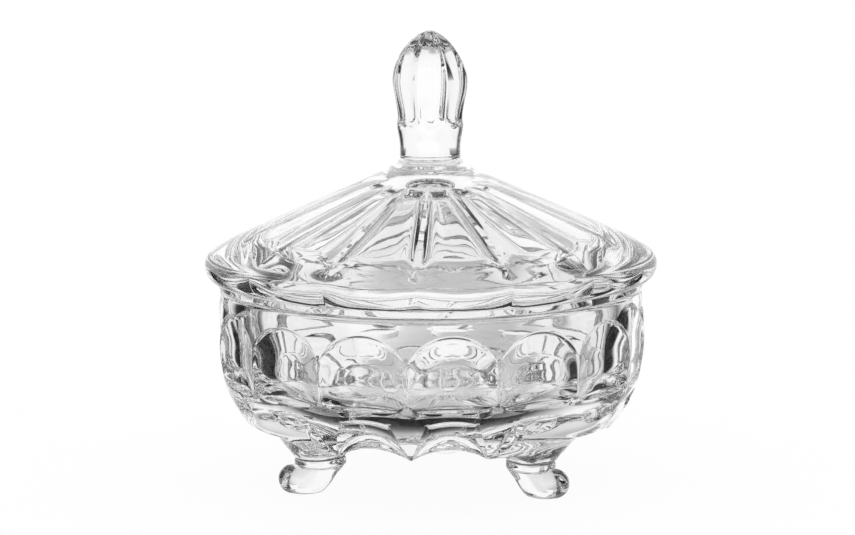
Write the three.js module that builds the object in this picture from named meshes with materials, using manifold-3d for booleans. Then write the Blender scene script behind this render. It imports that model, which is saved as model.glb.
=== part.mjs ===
// Covered candy dish of clear pressed glass: a bowl on three turned-out feet, and a lid with a bud finial.
// Millimetres, +Z up. The origin is on the table, on the dish's axis. Angles are in degrees, counted from
// the front (-Y) towards the right (+X), so a positive angle turns anticlockwise seen from above.
import * as THREE from 'three';
import { mergeVertices } from 'three/addons/utils/BufferGeometryUtils.js';
import Module from 'manifold-3d';

// Bowl: outside form
const rimHeight = 66.7;
const rimRadius = 70.2;
const rimEdge = 0.9;
const waistHeight = 49.2;
const waistSwell = 1.1;
const undersideWidth = 26;
const undersideHeight = 35.5;

// Bowl: inside form
const wall = 7.2;
const innerTaper = 1;
const floorHeight = 27.7;
const floorCornerWidth = 20;
const floorCornerHeight = 18;

// Bowl: arched flutes round the wall
const fluteCount = 15;
const fluteDepth = 3.4;
const archCrest = 61.4;
const archRise = 9.1;
const archLip = 1.1;
const fluteFoot = 36.4;
const fluteCorner = 4;

// Bowl: fan-shaped scoops under the flutes, with a leaf-shaped facet down each side and a tooth between
const fanTop = 33.8;
const fanArc = 1.4;
const fanTopShare = 0.567;
const fanFootShare = 0.96;
const fanDepth = 2.6;
const fanCap = 0.25;
const leafShare = 0.17;
const leafDepth = 2.4;
const toothHeight = 19;
const toothArch = 3.8;

// Bowl: underside, with a ray pressed into it below each flute
const baseHeight = 21.8;
const baseRadius = 40;
const rayRadius = 14;
const rayDepth = 2.6;

// Feet, each under a smooth hip that leaves only a lens of each scoop
const footCount = 3;
const hipFlutes = 3;
const hipLens = 6.4;
const hipBlend = 0.7;
const hipLength = 28;
const hipSpread = 0.94;
const hipLap = 0.4;
const legRoot = 4.2;
const kneeHeight = 15.7;
const kneeLength = 22.6;
const kneeWidth = 22;
const ankleRadius = 40.2;
const ankleHeight = 10;
const ankleLength = 16.2;
const ankleWidth = 12.6;
const beadHeight = 3;
const beadSwell = 0.7;
const instepLength = 16.4;
const soleRadius = 45.4;
const soleLength = 9;
const soleWidth = 7;
const soleEdge = 1.6;
const toeNarrowing = 0.28;
const toeRadius = 4.9;
const toeReach = 50;

// Lid: outside form, with heights counted from the seat
const seatGap = 0.3;
const lidOverhang = 5;
const lidTurn = 2;
const seatOverhang = 0.5;
const lipHeight = 2.4;
const lipFlare = 0.6;
const bulgeHeight = 7.2;
const bulgeTop = 11.2;
const bulgeWidth = 4;
const shoulderInset = 7;
const shoulderHeight = 13.7;
const coneTopRadius = 15.2;
const coneTopHeight = 37.9;

// Lid: locating ring inside the bowl's mouth
const ringClearance = 1;
const ringDrop = 3.6;
const ringWidth = 4.8;

// Lid: petals pressed into the underside, with a narrow bar between each two
const petalCount = 12;
const petalOuterRadius = 55.5;
const petalScallop = 3.2;
const petalInnerRadius = 11;
const petalDepth = 2.6;
const barShare = 0.1;
const barFootHeight = 8.5;
const barTopHeight = 27.4;
const crownHeight = 29.4;

// Finial: neck, and a bud with upright flutes
const finialTurn = 10;
const finialFlutes = 8;
const finialFluteDepth = 1.5;
const collarRadius = 11.2;
const collarHeight = 40.4;
const collarStep = 0.7;
const neckRadius = 10;
const neckHeight = 45.5;
const budFootRadius = 11.2;
const budFootHeight = 55;
const budRadius = 13.1;
const budHeight = 68.2;
const budArch = 2.4;
const finialTop = 84.4;

// How finely the round forms are faceted
const legSides = 20;
const toeSides = 12;
const facetShare = 0.74;

// Sizes that follow from the ones above
const waistRadius = rimRadius + waistSwell;
const mouthRadius = rimRadius - wall;
const halfFlute = 180 / fluteCount;
const halfPetal = 180 / petalCount;
const archHalfWidth = waistRadius * Math.sin(THREE.MathUtils.degToRad(halfFlute));
const archRadius = (archHalfWidth ** 2 + archRise ** 2) / (2 * archRise);
const lidRadius = rimRadius + lidOverhang;
const ringOuter = mouthRadius - ringClearance;

const { lerp, clamp, smoothstep } = THREE.MathUtils;
const wasm = await Module();
wasm.setup();

// A point of a round body from its radius, angle and height
function polar([radius, angle, height]) {
  const turn = THREE.MathUtils.degToRad(angle);
  return [radius * Math.sin(turn), -radius * Math.cos(turn), height];
}

// A closed skin over rings that run from a bottom pole, up the outside, to a top pole
function skin(rings) {
  const index = [];
  const starts = [];
  let count = 0;
  for (const ring of rings) {
    starts.push(count);
    count += ring.length;
  }
  for (let row = 0; row + 1 < rings.length; row += 1) {
    const sides = Math.max(rings[row].length, rings[row + 1].length);
    const vertex = (ring, side) => starts[ring] + (rings[ring].length === 1 ? 0 : side % sides);
    for (let side = 0; side < sides; side += 1) {
      const low = [vertex(row, side), vertex(row, side + 1)];
      const high = [vertex(row + 1, side), vertex(row + 1, side + 1)];
      if (low[0] !== low[1]) index.push(low[0], low[1], high[1]);
      if (high[0] !== high[1]) index.push(low[0], high[1], high[0]);
    }
  }
  const geometry = new THREE.BufferGeometry();
  geometry.setAttribute('position', new THREE.Float32BufferAttribute(rings.flat(2), 3));
  geometry.setIndex(index);
  return geometry;
}

// Rings of a round body from its columns, which hold one [radius, angle, height] for each ring
function ringsOf(columns) {
  return columns[0].map((first, row) => {
    if (first[0] === 0) return [polar(first)];
    return columns.map((column) => polar(column[row]));
  });
}

function solidOf(geometry) {
  geometry.deleteAttribute('normal');
  geometry.deleteAttribute('uv');
  const merged = mergeVertices(geometry, 1e-4);
  return new wasm.Manifold(new wasm.Mesh({
    numProp: 3,
    vertProperties: new Float32Array(merged.attributes.position.array),
    triVerts: new Uint32Array(merged.index.array),
  }));
}

function geometryOf(solid) {
  const mesh = solid.getMesh();
  const geometry = new THREE.BufferGeometry();
  geometry.setAttribute('position', new THREE.BufferAttribute(mesh.vertProperties, 3));
  geometry.setIndex(new THREE.BufferAttribute(mesh.triVerts, 1));
  geometry.computeVertexNormals();
  return geometry;
}

// Shares from one border of a pattern's copy to the next: the given ones, mirrored about the middle
function mirrored(shares) {
  const left = shares.filter((share) => share > 0).map((share) => -share).reverse();
  return [...left, ...shares.filter((share) => share < 1)];
}

// Outer radius of the bowl before its flutes and scoops are pressed in
function bowlRadius(height) {
  if (height >= waistHeight) {
    return lerp(waistRadius, rimRadius, (height - waistHeight) / (rimHeight - waistHeight));
  }
  const drop = (waistHeight - height) / undersideHeight;
  return waistRadius - undersideWidth * (1 - Math.sqrt(1 - drop * drop));
}

// Height of a flute's arch, and of its foot with rounded corners, at a share of its half width
function archHeight(share) {
  return archCrest - archRadius + Math.sqrt(archRadius ** 2 - (share * archHalfWidth) ** 2);
}

function fluteFootHeight(share) {
  const past = Math.max(0, Math.abs(share) * archHalfWidth - archHalfWidth + fluteCorner);
  return fluteFoot + fluteCorner - Math.sqrt(fluteCorner ** 2 - past ** 2);
}

// How far an angle is from the nearest foot, as a share of half a hip
function hipOffset(angle) {
  const period = 360 / footCount;
  const offset = Math.abs(THREE.MathUtils.euclideanModulo(angle, period) - period / 2);
  return offset / (hipFlutes * halfFlute);
}

// Where a column at a share of a flute's half width runs, between a scoop's floor, facet and tooth
function scoopReach(share, inner, halfWidth) {
  const facetStart = facetShare * fanTopShare;
  if (share <= facetStart) return share * inner / facetStart;
  if (share <= fanTopShare) {
    return lerp(inner, halfWidth, (share - facetStart) / (fanTopShare - facetStart));
  }
  return lerp(halfWidth, 1, (share - fanTopShare) / (1 - fanTopShare));
}

// One ring point of a scoop, at a share of its half width and a depth step from 0 (top) to 1 (tooth tips)
function scoopPoint(centre, share, step) {
  const lens = 4 * step * (1 - step);
  const halfWidth = lerp(fanTopShare, fanFootShare, step);
  const inner = halfWidth - leafShare * lens;
  const reach = scoopReach(Math.abs(share), inner, halfWidth);
  const angle = centre + Math.sign(share) * reach * halfFlute;
  const onHip = hipOffset(centre) < 1;

  const arch = onHip ? 1 - smoothstep(hipOffset(angle), 0.4, 0.8) : 1 - reach * reach;
  const foot = toothHeight + toothArch * arch;
  const border = fanTop - fanArc * Math.min(1, reach / fanTopShare) ** 2;
  const height = lerp(border, foot, step);
  const hip = border - hipLens * (1 - Math.min(1, reach / halfWidth) ** 2);
  const clear = onHip ? smoothstep(height, hip, hip + hipBlend) : 1;

  const beside = !onHip || hipOffset(centre + share * halfFlute) > 0.75;
  const facet = Math.abs(share) === facetShare * fanTopShare ? 1 : clear * Number(reach < inner);
  const cap = Math.sqrt(1 - (1 - Math.min(1, step / fanCap)) ** 2);
  const hollow = Math.max(0, 1 - (reach / inner) ** 2) * cap * clear;
  const depth = fanDepth * hollow + (beside ? leafDepth * lens * facet : 0);
  return [bowlRadius(height) - depth, angle, height];
}

// One column of the bowl, from the middle of its base, up the outside and down the inside
function bowlColumn(centre, share) {
  const angle = centre + share * halfFlute;
  const bow = 1 - share * share;
  const column = [[0, angle, baseHeight]];
  column.push([rayRadius, angle, baseHeight]);
  column.push([baseRadius, angle, baseHeight + rayDepth * bow]);
  for (const step of [1, 0.75, 0.5, fanCap, 0.1, 0]) column.push(scoopPoint(centre, share, step));

  const foot = fluteFootHeight(share);
  const arch = archHeight(share);
  column.push([bowlRadius(foot), angle, foot]);
  const floorSteps = [[0, 0.6], [0.3, 1], [0.7, 1], [1, 0.45]];
  for (const [step, depthShare] of floorSteps) {
    const height = lerp(foot + archLip, arch - archLip, step);
    column.push([bowlRadius(height) - fluteDepth * bow * depthShare, angle, height]);
  }
  column.push([bowlRadius(arch), angle, arch]);

  column.push([bowlRadius(rimHeight - rimEdge), angle, rimHeight - rimEdge]);
  column.push([rimRadius - rimEdge, angle, rimHeight]);
  column.push([mouthRadius + rimEdge, angle, rimHeight]);
  column.push([mouthRadius, angle, rimHeight - rimEdge]);
  const innerRadius = mouthRadius - innerTaper;
  for (const turn of [0, 30, 60, 90]) {
    const around = THREE.MathUtils.degToRad(turn);
    const radius = innerRadius - floorCornerWidth * (1 - Math.cos(around));
    const height = floorHeight + floorCornerHeight * (1 - Math.sin(around));
    column.push([radius, angle, height]);
  }
  column.push([0, angle, floorHeight]);
  return column;
}

// One leg at the front: ovals, bent round the axis, from the flat sole, over the ankle's bead, into the hip
function legSolid() {
  const hipHeight = toothHeight + toothArch;
  const edgeRadius = bowlRadius(hipHeight);
  const hipRadius = edgeRadius - hipLength / 2;
  const hipWidth = 2 * edgeRadius * THREE.MathUtils.degToRad(hipFlutes * halfFlute) * hipSpread;
  const heelLength = soleLength + 2 * soleEdge;
  const heelWidth = soleWidth + 2 * soleEdge;
  const beadFoot = ankleHeight - beadHeight / 2;
  const bent = (value, squareness) => Math.sign(value) * Math.abs(value) ** (2 / squareness);
  const oval = (height, centre, length, width, squareness = 2) => (
    Array.from({ length: legSides }, (_, side) => {
      const turn = 2 * Math.PI * side / legSides;
      const outward = bent(Math.cos(turn), squareness);
      const narrowed = height < beadFoot ? 1 - toeNarrowing * outward : 1;
      const aside = width / 2 * bent(Math.sin(turn), squareness) * narrowed;
      const angle = THREE.MathUtils.radToDeg(aside / Math.max(centre, ankleRadius));
      return polar([centre + length / 2 * outward, angle, height]);
    })
  );
  const instep = (rise, forward, length, widthShare) => oval(
    lerp(soleEdge, beadFoot, rise),
    lerp(ankleRadius, soleRadius, forward),
    length,
    lerp(heelWidth, ankleWidth, widthShare),
  );
  const bead = (rise, swell) => oval(
    beadFoot + beadHeight * rise,
    ankleRadius,
    ankleLength + 2 * swell,
    ankleWidth + 2 * swell,
  );
  const flare = (rise, outward, lengthShare, widthShare, squareness) => oval(
    lerp(kneeHeight, hipHeight + hipLap, rise),
    lerp(ankleRadius, hipRadius, outward),
    lerp(kneeLength, hipLength, lengthShare),
    lerp(kneeWidth, hipWidth, widthShare),
    squareness,
  );
  const rings = [
    oval(0, soleRadius, soleLength, soleWidth),
    oval(soleEdge / 2, soleRadius, heelLength, heelWidth),
    instep(0.2, 0.9, lerp(heelLength, instepLength, 0.8), 0.35),
    instep(0.55, 0.65, instepLength, 0.55),
    instep(0.85, 0.25, lerp(instepLength, ankleLength, 0.6), 0.8),
    bead(0, 0),
    bead(0.2, beadSwell),
    bead(0.8, beadSwell),
    bead(1, beadSwell / 2),
    flare(-0.4, 0, -1, -0.15, 2),
    flare(0, 0.05, 0, 0, 2.2),
    flare(0.45, 0.18, 0.35, 0.28, 2.4),
    flare(0.75, 0.52, 0.75, 0.6, 2.7),
    flare(1, 1, 1, 1, 3),
  ];
  const rootHeight = baseHeight + legRoot;
  const root = rings.at(-1).map(([x, y]) => [x, y, rootHeight]);
  const sole = polar([soleRadius, 0, 0]);
  const top = polar([hipRadius, 0, rootHeight]);
  const leg = solidOf(skin([[sole], ...rings, root, [top]]));
  const toe = new THREE.SphereGeometry(toeRadius, toeSides, toeSides - 4);
  toe.rotateX(Math.PI / 2);
  toe.translate(...polar([toeReach, 0, toeRadius]));
  return leg.add(solidOf(toe));
}

function bowlSolid() {
  const shares = mirrored([0, 0.7 * facetShare * fanTopShare, facetShare * fanTopShare, fanTopShare, 0.8, 1]);
  const columns = [];
  for (let flute = 0; flute < fluteCount; flute += 1) {
    const centre = (2 * flute + 1) * halfFlute;
    for (const share of shares) columns.push(bowlColumn(centre, share));
  }
  let bowl = solidOf(skin(ringsOf(columns)));
  const leg = legSolid();
  for (let foot = 0; foot < footCount; foot += 1) {
    const angle = (foot + 0.5) * 360 / footCount;
    bowl = bowl.add(leg.rotate([0, 0, angle]));
  }
  return bowl;
}

// One column of the lid without its finial, from the crown inside, over the ring and rim, to the cone's top
function lidColumn(centre, share) {
  const angle = centre + share * halfPetal;
  const barRadius = petalOuterRadius - petalScallop;
  const barSlope = (barTopHeight - barFootHeight) / (barRadius - petalInnerRadius);
  const barHeight = (radius) => barFootHeight + barSlope * (barRadius - radius);
  const column = [[0, angle, crownHeight]];
  const outer = petalOuterRadius - petalScallop * share * share;
  const bow = Math.max(0, 1 - (share / (1 - barShare)) ** 6);
  const petalSteps = [[0, 0], [0.08, 0.5], [0.2, 1], [0.6, 1], [0.94, 0.9], [1, 0]];
  for (const [step, depthShare] of petalSteps) {
    const radius = lerp(petalInnerRadius, outer, step);
    column.push([radius, angle, barHeight(radius) + petalDepth * bow * depthShare]);
  }
  const ringInner = ringOuter - ringWidth;
  column.push([ringInner, angle, 0]);
  column.push([ringInner + ringWidth / 4, angle, -ringDrop]);
  column.push([ringOuter, angle, -ringDrop]);
  column.push([ringOuter, angle, 0]);
  const seatOuter = rimRadius + seatOverhang;
  column.push([seatOuter, angle, 0]);
  column.push([seatOuter + lipFlare, angle, lipHeight]);
  for (const turn of [-50, -20, 0, 30, 65]) {
    const around = THREE.MathUtils.degToRad(turn);
    const rise = turn < 0 ? bulgeHeight - lipHeight : bulgeTop - bulgeHeight;
    const radius = lidRadius - bulgeWidth * (1 - Math.cos(around));
    column.push([radius, angle, bulgeHeight + rise * Math.sin(around)]);
  }
  column.push([lidRadius - shoulderInset, angle, shoulderHeight]);
  column.push([coneTopRadius, angle, coneTopHeight]);
  column.push([collarRadius, angle, collarHeight]);
  column.push([0, angle, collarHeight]);
  return column;
}

// Radius of the finial's bud from its widest place (0) to its tip (1)
function budShare(rise) {
  return (1 - rise ** 1.6) ** 0.6;
}

// Finial: a neck that swells into a bud, with flutes that end in rounded feet above the neck
function finialSolid() {
  const shares = mirrored([0, 0.35, 0.7, 1]);
  const halfTurn = 180 / finialFlutes;
  const rootHeight = (crownHeight + collarHeight) / 2;
  const columns = [];
  for (let flute = 0; flute < finialFlutes; flute += 1) {
    const centre = finialTurn + 2 * flute * halfTurn;
    for (const share of shares) {
      const angle = centre + share * halfTurn;
      const arch = 1 - share * share;
      const depth = finialFluteDepth * arch;
      const column = [[0, angle, rootHeight], [neckRadius, angle, rootHeight]];
      column.push([neckRadius + collarStep, angle, collarHeight + collarStep]);
      column.push([neckRadius, angle, collarHeight + 2 * collarStep]);
      column.push([neckRadius, angle, neckHeight]);
      const foot = budFootHeight - budArch * arch;
      column.push([budFootRadius, angle, foot]);
      column.push([budFootRadius - depth, angle, foot + budArch / 2]);
      const waist = lerp(budFootRadius, budRadius, 0.55);
      column.push([waist - depth, angle, lerp(budFootHeight, budHeight, 0.55)]);
      for (const rise of [0, 0.25, 0.5, 0.7, 0.85, 0.95]) {
        const radius = (budRadius - depth) * budShare(rise);
        column.push([radius, angle, lerp(budHeight, finialTop, rise)]);
      }
      column.push([0, angle, finialTop]);
      columns.push(column);
    }
  }
  return solidOf(skin(ringsOf(columns)));
}

function lidSolid() {
  const shares = mirrored([0, 0.6, 0.8, 1 - barShare, 1]);
  const columns = [];
  for (let petal = 0; petal < petalCount; petal += 1) {
    const centre = lidTurn + (2 * petal + 1) * halfPetal;
    for (const share of shares) columns.push(lidColumn(centre, share));
  }
  return solidOf(skin(ringsOf(columns))).add(finialSolid());
}

function clearGlass() {
  return new THREE.MeshStandardMaterial({
    color: 0xf1f4f4, roughness: 0.03, metalness: 0, transparent: true, opacity: 0.35,
  });
}

const bowl = new THREE.Mesh(geometryOf(bowlSolid()), clearGlass());
bowl.name = 'bowl';

const lid = new THREE.Mesh(geometryOf(lidSolid()), clearGlass());
lid.name = 'lid';

const liftedLid = new THREE.Group();
liftedLid.position.z = rimHeight + seatGap;
liftedLid.add(lid);

const candyDish = new THREE.Group();
candyDish.add(bowl, liftedLid);

export default candyDish;
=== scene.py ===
"""Covered candy dish of clear pressed glass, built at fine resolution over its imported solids.

The bowl with its three feet and the lid with its finial are one closed piece of glass each. Both are round
pieces pressed in a mould: one sector is drawn as rows of points, and Geometry Nodes press its pattern in and
repeat it round the axis. Lengths are metres, angles are counted from the front (-Y) towards the right (+X).
"""

import math

import bpy
import numpy as np
from mathutils import Euler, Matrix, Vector


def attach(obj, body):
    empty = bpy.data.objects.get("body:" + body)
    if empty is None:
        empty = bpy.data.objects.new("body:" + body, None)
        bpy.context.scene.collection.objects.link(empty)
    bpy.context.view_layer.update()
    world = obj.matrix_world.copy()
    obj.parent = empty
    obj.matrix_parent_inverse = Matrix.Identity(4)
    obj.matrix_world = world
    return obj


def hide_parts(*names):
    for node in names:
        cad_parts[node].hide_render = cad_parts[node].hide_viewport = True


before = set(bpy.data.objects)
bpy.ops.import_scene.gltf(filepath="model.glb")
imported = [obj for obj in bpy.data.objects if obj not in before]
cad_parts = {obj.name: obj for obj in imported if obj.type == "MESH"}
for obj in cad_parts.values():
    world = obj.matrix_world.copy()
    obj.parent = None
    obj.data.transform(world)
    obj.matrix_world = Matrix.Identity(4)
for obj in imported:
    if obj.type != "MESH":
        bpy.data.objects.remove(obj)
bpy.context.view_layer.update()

bl_info = {
    "name": "Covered candy dish",
    "version": (1, 0, 0),
    "blender": (4, 5, 0),
    "location": "View3D > Sidebar > Candy dish",
    "description": "Builds a covered candy dish of pressed glass and a plain studio around it",
    "category": "Add Mesh",
}

MM = 0.001
WELD = 0.002 * MM
CREASE = math.radians(40.0)
BEND = 0.02  # softness where a pressed hollow runs into the skin around it
TINY = 1e-6
PETAL_FLATNESS = 6  # higher keeps a petal's hollow level up to its bars
BUD_FULLNESS = 1.6  # higher keeps the bud wide further up
TIP_BLUNTNESS = 0.6  # lower makes its tip blunter

# How finely the meshes are drawn

FLUTE_COLUMNS = 8
FACET_COLUMNS = 5
BASE_ROWS = 12
BASE_EDGE_ROWS = 9
BASE_END = 0.97  # share of the way to the tooth tips where the base's rows end
SCOOP_ROWS = 31
LENS_ROWS = 4
LENS_PASSES = 6  # times that the rows on a hip are fitted to its lens
LENS_ENDS = 0.9  # keeps the fitted rows apart at a lens's two ends
LENS_SPACING = 0.3  # least gap of other rows to those at a lens's lower edge, as a share of its blend
LIP_ROWS = 7
FLUTE_ROWS = 19
BAND_ROWS = 9
RIM_STEPS = 8
WALL_ROWS = 8
CORNER_ROWS = 20
LEG_STEPS = 5
LEG_SIDES = 81
TOE_ROWS = 31
TOE_SIDES = 49
PETAL_COLUMNS = 19
PETAL_EVENNESS = 0.4  # 1 spreads those columns evenly, 0 crowds them beside the bars
PETAL_ROWS = 34
RING_STEPS = 7
BULGE_ROWS = 27
CONE_STEPS = 6
BUD_ROWS = 40
TIP_ROWS = 26
FLOOR_SIDES = 65


# Settings that the sidebar shows


def size(label, millimetres, words):
    """A length, written in millimetres and kept in metres."""
    return bpy.props.FloatProperty(
        name=label,
        description=words,
        default=millimetres * MM,
        subtype="DISTANCE",
        unit="LENGTH",
        precision=5,
    )


def share(label, value, words):
    """A share of another size, from 0 to 1."""
    return bpy.props.FloatProperty(
        name=label,
        description=words,
        default=value,
        subtype="FACTOR",
        min=0,
        max=1,
    )


def angle(label, degrees, words):
    """An angle, written in degrees and kept in radians."""
    return bpy.props.FloatProperty(
        name=label,
        description=words,
        default=math.radians(degrees),
        subtype="ANGLE",
        unit="ROTATION",
    )


def number(label, value, words):
    """How many copies a pattern has."""
    return bpy.props.IntProperty(name=label, description=words, default=value, min=1)


class BowlSizes(bpy.types.PropertyGroup):
    """Outside and inside of the bowl, its arched flutes and the scoops below them."""

    rim_height: size("Rim height", 66.7, "Height of the rim above the table")
    rim_radius: size("Rim radius", 70.2, "Outer radius of the rim")
    rim_edge: size("Rim edge", 1.4, "Rounding of the rim's two edges")
    waist_height: size("Waist height", 49.2, "Height of the widest place")
    waist_swell: size("Waist swell", 1.1, "How much wider the bowl is there than at the rim")
    underside_width: size("Underside width", 26, "Half width of the oval that the underside follows")
    underside_height: size("Underside height", 35.5, "Half height of that oval")
    wall: size("Wall", 7.2, "Thickness of the glass at the rim")
    inner_taper: size("Inner taper", 1, "How much narrower the inside is above its floor")
    floor_height: size("Floor height", 27.7, "Height of the floor inside")
    floor_corner_width: size("Floor corner width", 20, "Width of the rounded corner inside")
    floor_corner_height: size("Floor corner height", 18, "Height of that corner")
    flutes: number("Flutes", 15, "Arched flutes round the wall")
    flute_depth: size("Flute depth", 3.4, "Depth of a flute in its middle")
    arch_crest: size("Arch crest", 61.4, "Height of an arch's crest")
    arch_rise: size("Arch rise", 9.1, "How far the crest is above the ends of the arch")
    arch_lip: size("Arch lip", 1.2, "Width of the step at a flute's border")
    arch_step: share("Arch step", 0.45, "Share of a flute's depth that is reached at that step")
    arch_run: size("Arch run", 10.8, "Height over which the rest of the depth is reached below an arch")
    flute_foot: size("Flute foot", 36.4, "Height of a flute's lower border")
    flute_corner: size("Flute corner", 4, "Rounding of that border's corners")
    foot_step: share("Foot step", 0.6, "Share of a flute's depth that is reached at its lower border")
    foot_run: size("Foot run", 7.2, "Height over which the rest of the depth is reached above that border")
    bow_share: share("Bow width", 0.975, "Width of a flute's hollow as a share of a flute")
    fan_top: size("Scoop top", 33.8, "Height of a scoop's upper border")
    fan_top_share: share("Scoop top width", 0.567, "Width of a scoop's top as a share of a flute")
    fan_foot_share: share("Scoop foot width", 0.96, "Width of a scoop's foot as a share of a flute")
    fan_arc: size("Scoop arc", 1.4, "How far a scoop's top corners are below its middle")
    fan_depth: size("Scoop depth", 2.6, "Depth of a scoop's hollow below its side facets")
    fan_cap: share("Scoop cap", 0.25, "Share of a scoop's height over which it deepens")
    facet_share: share("Facet share", 0.74, "Share of a scoop's columns inside its leaf facets")
    leaf_share: share("Leaf width", 0.17, "Greatest width of a scoop's leaf facet as a share of a flute")
    leaf_wall: share("Leaf wall", 0.08, "Width of the wall between leaf facet and hip as a share of a flute")
    leaf_depth: size("Leaf depth", 2.4, "Greatest depth at a leaf facet's inner edge")
    tooth_height: size("Tooth height", 19, "Height of the tooth tips between the scoops")
    tooth_arch: size("Tooth arch", 3.8, "How far a scoop's foot arches above the tips")
    base_height: size("Base height", 21.8, "Height of the flat underside")
    base_radius: size("Base radius", 40, "Radius of the flat underside")
    ray_depth: size("Ray depth", 2.6, "Depth of the rays pressed into the underside")
    ray_radius: size("Ray radius", 14, "Radius where those rays start")
    ray_share: share("Ray width", 0.97, "Width of a ray as a share of a flute")


class FootSizes(bpy.types.PropertyGroup):
    """The three feet, each under a smooth hip that fills the scoops."""

    count: number("Feet", 3, "Feet under the bowl")
    hip_flutes: number("Hip flutes", 3, "Flutes that a hip spans")
    hip_lens: size("Hip lens", 6.4, "Height of the lens that a hip leaves of each scoop")
    lens_step: share("Lens step", 0.4, "Share of the scoops' rows that are above a lens's lower edge")
    lens_blend: share("Lens blend", 0.06, "Share of the scoops' rows over which a lens runs into its hip")
    leaf_from: share("Leaf from", 0.75, "Share of half a hip past which its scoops keep their leaf facets")
    arch_end: share("Hip arch end", 0.8, "Share of half a hip where its raised lower edge ends")
    arch_width: share("Hip arch width", 0.4, "Share of half a hip over which that edge rises")
    hip_length: size("Hip length", 28, "Length of the leg's top, outwards")
    hip_spread: share("Hip spread", 0.94, "Share of a hip's width that the leg's top fills")
    hip_lap: size("Hip lap", 0.4, "How far the leg's top is above the hip's lower edge")
    root: size("Leg root", 4.2, "How far a leg reaches into the bowl's base")
    knee_height: size("Knee height", 15.7, "Height where the leg starts to spread into the hip")
    knee_length: size("Knee length", 22.6, "Length of the leg there, outwards")
    knee_width: size("Knee width", 22, "Width of the leg there")
    ankle_radius: size("Ankle radius", 40.2, "Distance of the ankle's middle from the axis")
    ankle_height: size("Ankle height", 10, "Height of the bead round the ankle")
    ankle_length: size("Ankle length", 16.2, "Length of the ankle, outwards")
    ankle_width: size("Ankle width", 12.6, "Width of the ankle")
    bead: size("Bead", 0.7, "How far the bead stands out")
    bead_height: size("Bead height", 3, "Height of the bead")
    instep_length: size("Instep length", 16.4, "Length of the foot over the instep, outwards")
    sole_radius: size("Sole radius", 45.4, "Distance of the sole's middle from the axis")
    sole_length: size("Sole length", 9, "Length of the sole, outwards")
    sole_width: size("Sole width", 7, "Width of the sole")
    sole_edge: size("Sole edge", 1.6, "Rounding round the sole")
    toe_narrowing: share("Toe narrowing", 0.12, "How much narrower the foot is at its toe than at its heel")
    toe_radius: size("Toe radius", 4.9, "Radius of the toe's ball")
    toe_lift: size("Toe lift", 0.098, "Gap between the ball and the table")
    toe_reach: size("Toe reach", 50, "Distance of the ball's middle from the axis")


class LidSizes(bpy.types.PropertyGroup):
    """The conical lid, its ring and petals; heights are counted from its seat."""

    seat_gap: size("Seat gap", 0.3, "Gap between rim and seat")
    overhang: size("Overhang", 5, "How far the lid reaches past the bowl's rim")
    turn: angle("Turn", 2, "How far the lid is turned in its seat")
    seat_overhang: size("Seat overhang", 0.5, "How far the seat reaches past the rim")
    lip_height: size("Lip height", 2.4, "Height of the upright lip above the seat")
    lip_flare: size("Lip flare", 0.6, "How far the lip leans out")
    bulge_height: size("Bulge height", 7.2, "Height of the widest place")
    bulge_top: size("Bulge top", 11.2, "Height where the rounded edge ends")
    bulge_width: size("Bulge width", 4, "Half width of the rounded edge")
    bulge_from: angle("Bulge from", -62, "Slope where the rounded edge starts above the lip")
    bulge_to: angle("Bulge to", 68, "Slope where it runs into the shoulder")
    shoulder_inset: size("Shoulder inset", 7, "How far inside the edge the cone starts")
    shoulder_height: size("Shoulder height", 13.7, "Height where the cone starts")
    shoulder_round: size("Shoulder rounding", 4, "Rounding where the cone starts")
    cone_top_radius: size("Cone top radius", 15.2, "Radius where the cone ends")
    cone_top_height: size("Cone top height", 37.9, "Height where the cone ends")
    cone_top_round: size("Cone top rounding", 2, "Rounding where the cone ends")
    ring_clearance: size("Ring clearance", 1, "Gap between ring and mouth")
    ring_drop: size("Ring drop", 3.6, "How far the ring reaches into the bowl")
    ring_width: size("Ring width", 4.8, "Width of the ring")
    petals: number("Petals", 12, "Petals pressed into the underside")
    petal_outer_radius: size("Petal outer radius", 55.5, "Radius of a petal's outer end")
    petal_scallop: size("Petal scallop", 3.2, "How far that end curves back beside the bars")
    petal_inner_radius: size("Petal inner radius", 11, "Radius of a petal's inner end")
    petal_depth: size("Petal depth", 2.6, "Depth of a petal in its middle")
    petal_start: share("Petal start", 0.2, "Part of a petal's length where its inner end deepens")
    petal_end: share("Petal end", 0.08, "Part of a petal's length where its outer end rises")
    bar_share: share("Bar width", 0.1, "Width of the bars between petals as a share of a petal")
    bar_foot_height: size("Bar foot height", 8.5, "Height of a bar's outer end")
    bar_top_height: size("Bar top height", 27.4, "Height of a bar's inner end")
    crown_height: size("Crown height", 29.4, "Height of the inside under the finial")


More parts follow.
